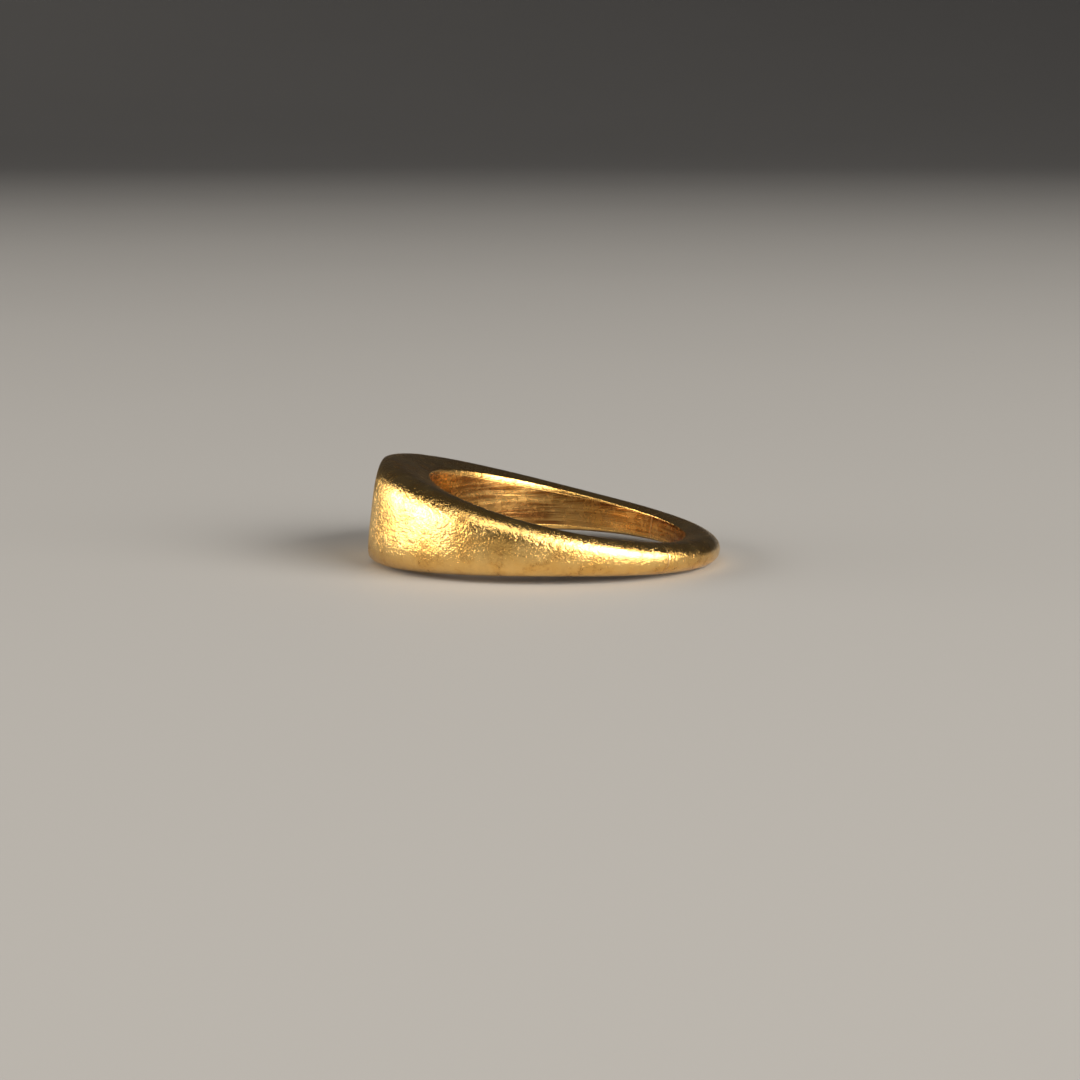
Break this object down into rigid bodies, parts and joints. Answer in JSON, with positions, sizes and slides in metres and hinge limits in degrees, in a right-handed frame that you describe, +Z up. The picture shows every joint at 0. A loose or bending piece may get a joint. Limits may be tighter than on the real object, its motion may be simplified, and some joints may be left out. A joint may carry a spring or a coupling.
{
  "type": "signet ring",
  "caption": "Gold signet ring lying on its side: a rounded shank flares through soft shoulders into a deep head with a flat oval table. The bordered plate let into the table is a guess.",
  "frame": {"origin": "on the surface the ring lies on, below the middle of its overall box", "axes": "+X from the head to the back of the shank, +Z up from the surface, and the bore axis in the XZ plane, leaning 6.8 degrees from +Z towards +X"},
  "size_m": [0.0256, 0.0232, 0.0075],
  "materials": {
    "cast_gold": "polished cast yellow gold with a fine orange-peel skin",
    "plate_gold": "flat-polished yellow gold",
    "gold_solder": "gold solder, slightly paler"
  },
  "bodies": {
    "root": {"head_and_shank": "cast_gold", "seal_plate": "plate_gold", "plate_solder": "gold_solder", "sizing_piece": "cast_gold", "solder_joint_left": "gold_solder", "solder_joint_right": "gold_solder"}
  },
  "joints": []
}
